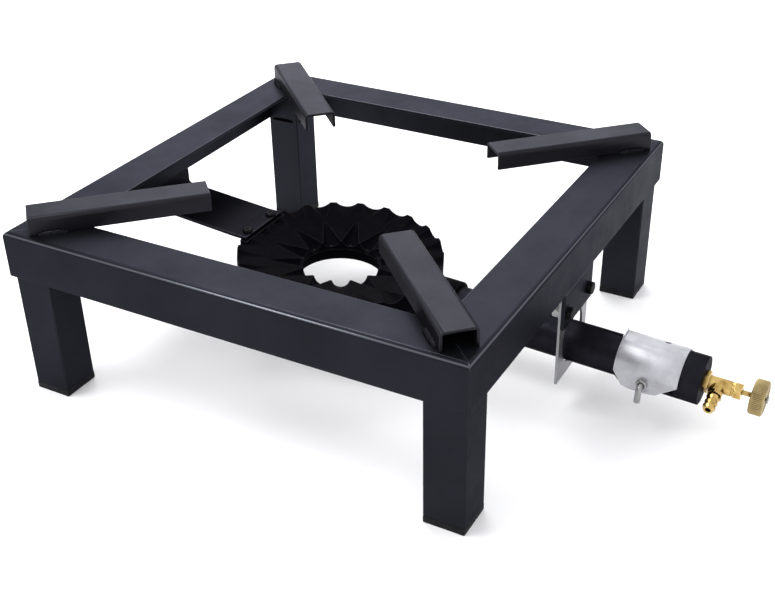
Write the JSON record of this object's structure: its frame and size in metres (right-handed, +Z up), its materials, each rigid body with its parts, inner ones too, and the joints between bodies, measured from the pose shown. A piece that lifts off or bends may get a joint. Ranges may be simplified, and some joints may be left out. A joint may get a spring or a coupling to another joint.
{
  "type": "stock pot range",
  "caption": "Low square stand of steel angle with corner pot bars over a cast ring gas burner, fed by a mixing tube with sliding air shutter and a brass needle valve.",
  "frame": {"origin": "on the floor, under the middle of the overall outline (the stand's own middle is 76.9 mm toward +Y from it, because the valve reaches forward)", "axes": "+Z up; -Y toward the valve and knob (front); +X to the right of someone facing the knob"},
  "size_m": [0.4, 0.5538, 0.161],
  "materials": {
    "black_paint": "baked black paint with a slight blue-grey sheen over steel sheet",
    "foot_plastic": "matt black moulded foot plug",
    "weld": "rippled weld bead, thinly painted",
    "cast_black": "sand-cast iron with matt black stove finish",
    "zinc_sheet": "bright zinc-plated sheet",
    "bright_steel": "zinc-plated steel fasteners",
    "brass": "machined yellow brass",
    "packing": "white sealing ring"
  },
  "bodies": {
    "stand": {"front_rail": "black_paint", "right_rail": "black_paint", "rear_rail": "black_paint", "left_rail": "black_paint", "front_left_leg": "black_paint", "front_right_leg": "black_paint", "rear_right_leg": "black_paint", "rear_left_leg": "black_paint", "front_left_pot_bar": "black_paint", "front_right_pot_bar": "black_paint", "rear_right_pot_bar": "black_paint", "rear_left_pot_bar": "black_paint", "feet": "foot_plastic", "bar_weld_beads": "weld", "front_tab": "black_paint", "rear_strap": "black_paint", "tube_plate": "zinc_sheet", "plate_bolts": "bright_steel", "plate_washers": "bright_steel", "plate_nuts": "bright_steel", "strap_screws": "bright_steel", "crown_screws": "bright_steel", "burner_body": "cast_black", "burner_crown": "cast_black", "mixing_tube": "cast_black", "valve_body": "brass", "injector_jet": "brass", "hose_tail": "brass", "gland_nut": "brass", "spindle_packing": "packing"},
    "spindle": {"valve_spindle": "brass"},
    "knob": {"valve_knob": "brass", "knob_screw": "bright_steel"},
    "shutter": {"air_shutter": "zinc_sheet", "shutter_nut": "bright_steel"},
    "lock_screw": {"shutter_screw": "bright_steel"}
  },
  "joints": [
    {"name": "spindle_lift", "type": "slide", "parent": "stand", "child": "spindle", "axis": [0, -0.999, -0.0454], "range_m": [0, 0.0025]},
    {"name": "knob_turn", "type": "hinge", "parent": "spindle", "child": "knob", "pos_m": [0, -0.27496, 0.0427], "axis": [0, -0.999, -0.0454], "range_deg": [0, 900]},
    {"name": "shutter_slide", "type": "slide", "parent": "stand", "child": "shutter", "axis": [0, 0.999, 0.0454], "range_m": [0, 0.025]},
    {"name": "lock_screw_turn", "type": "hinge", "parent": "shutter", "child": "lock_screw", "pos_m": [-0.0207, -0.18582, 0.04175], "axis": [1, 0, 0], "range_deg": [0, 135]}
  ],
  "couplings": [
    {"joint": "knob_turn", "follows": "spindle_lift", "rad_per_m": 6283.2}
  ]
}
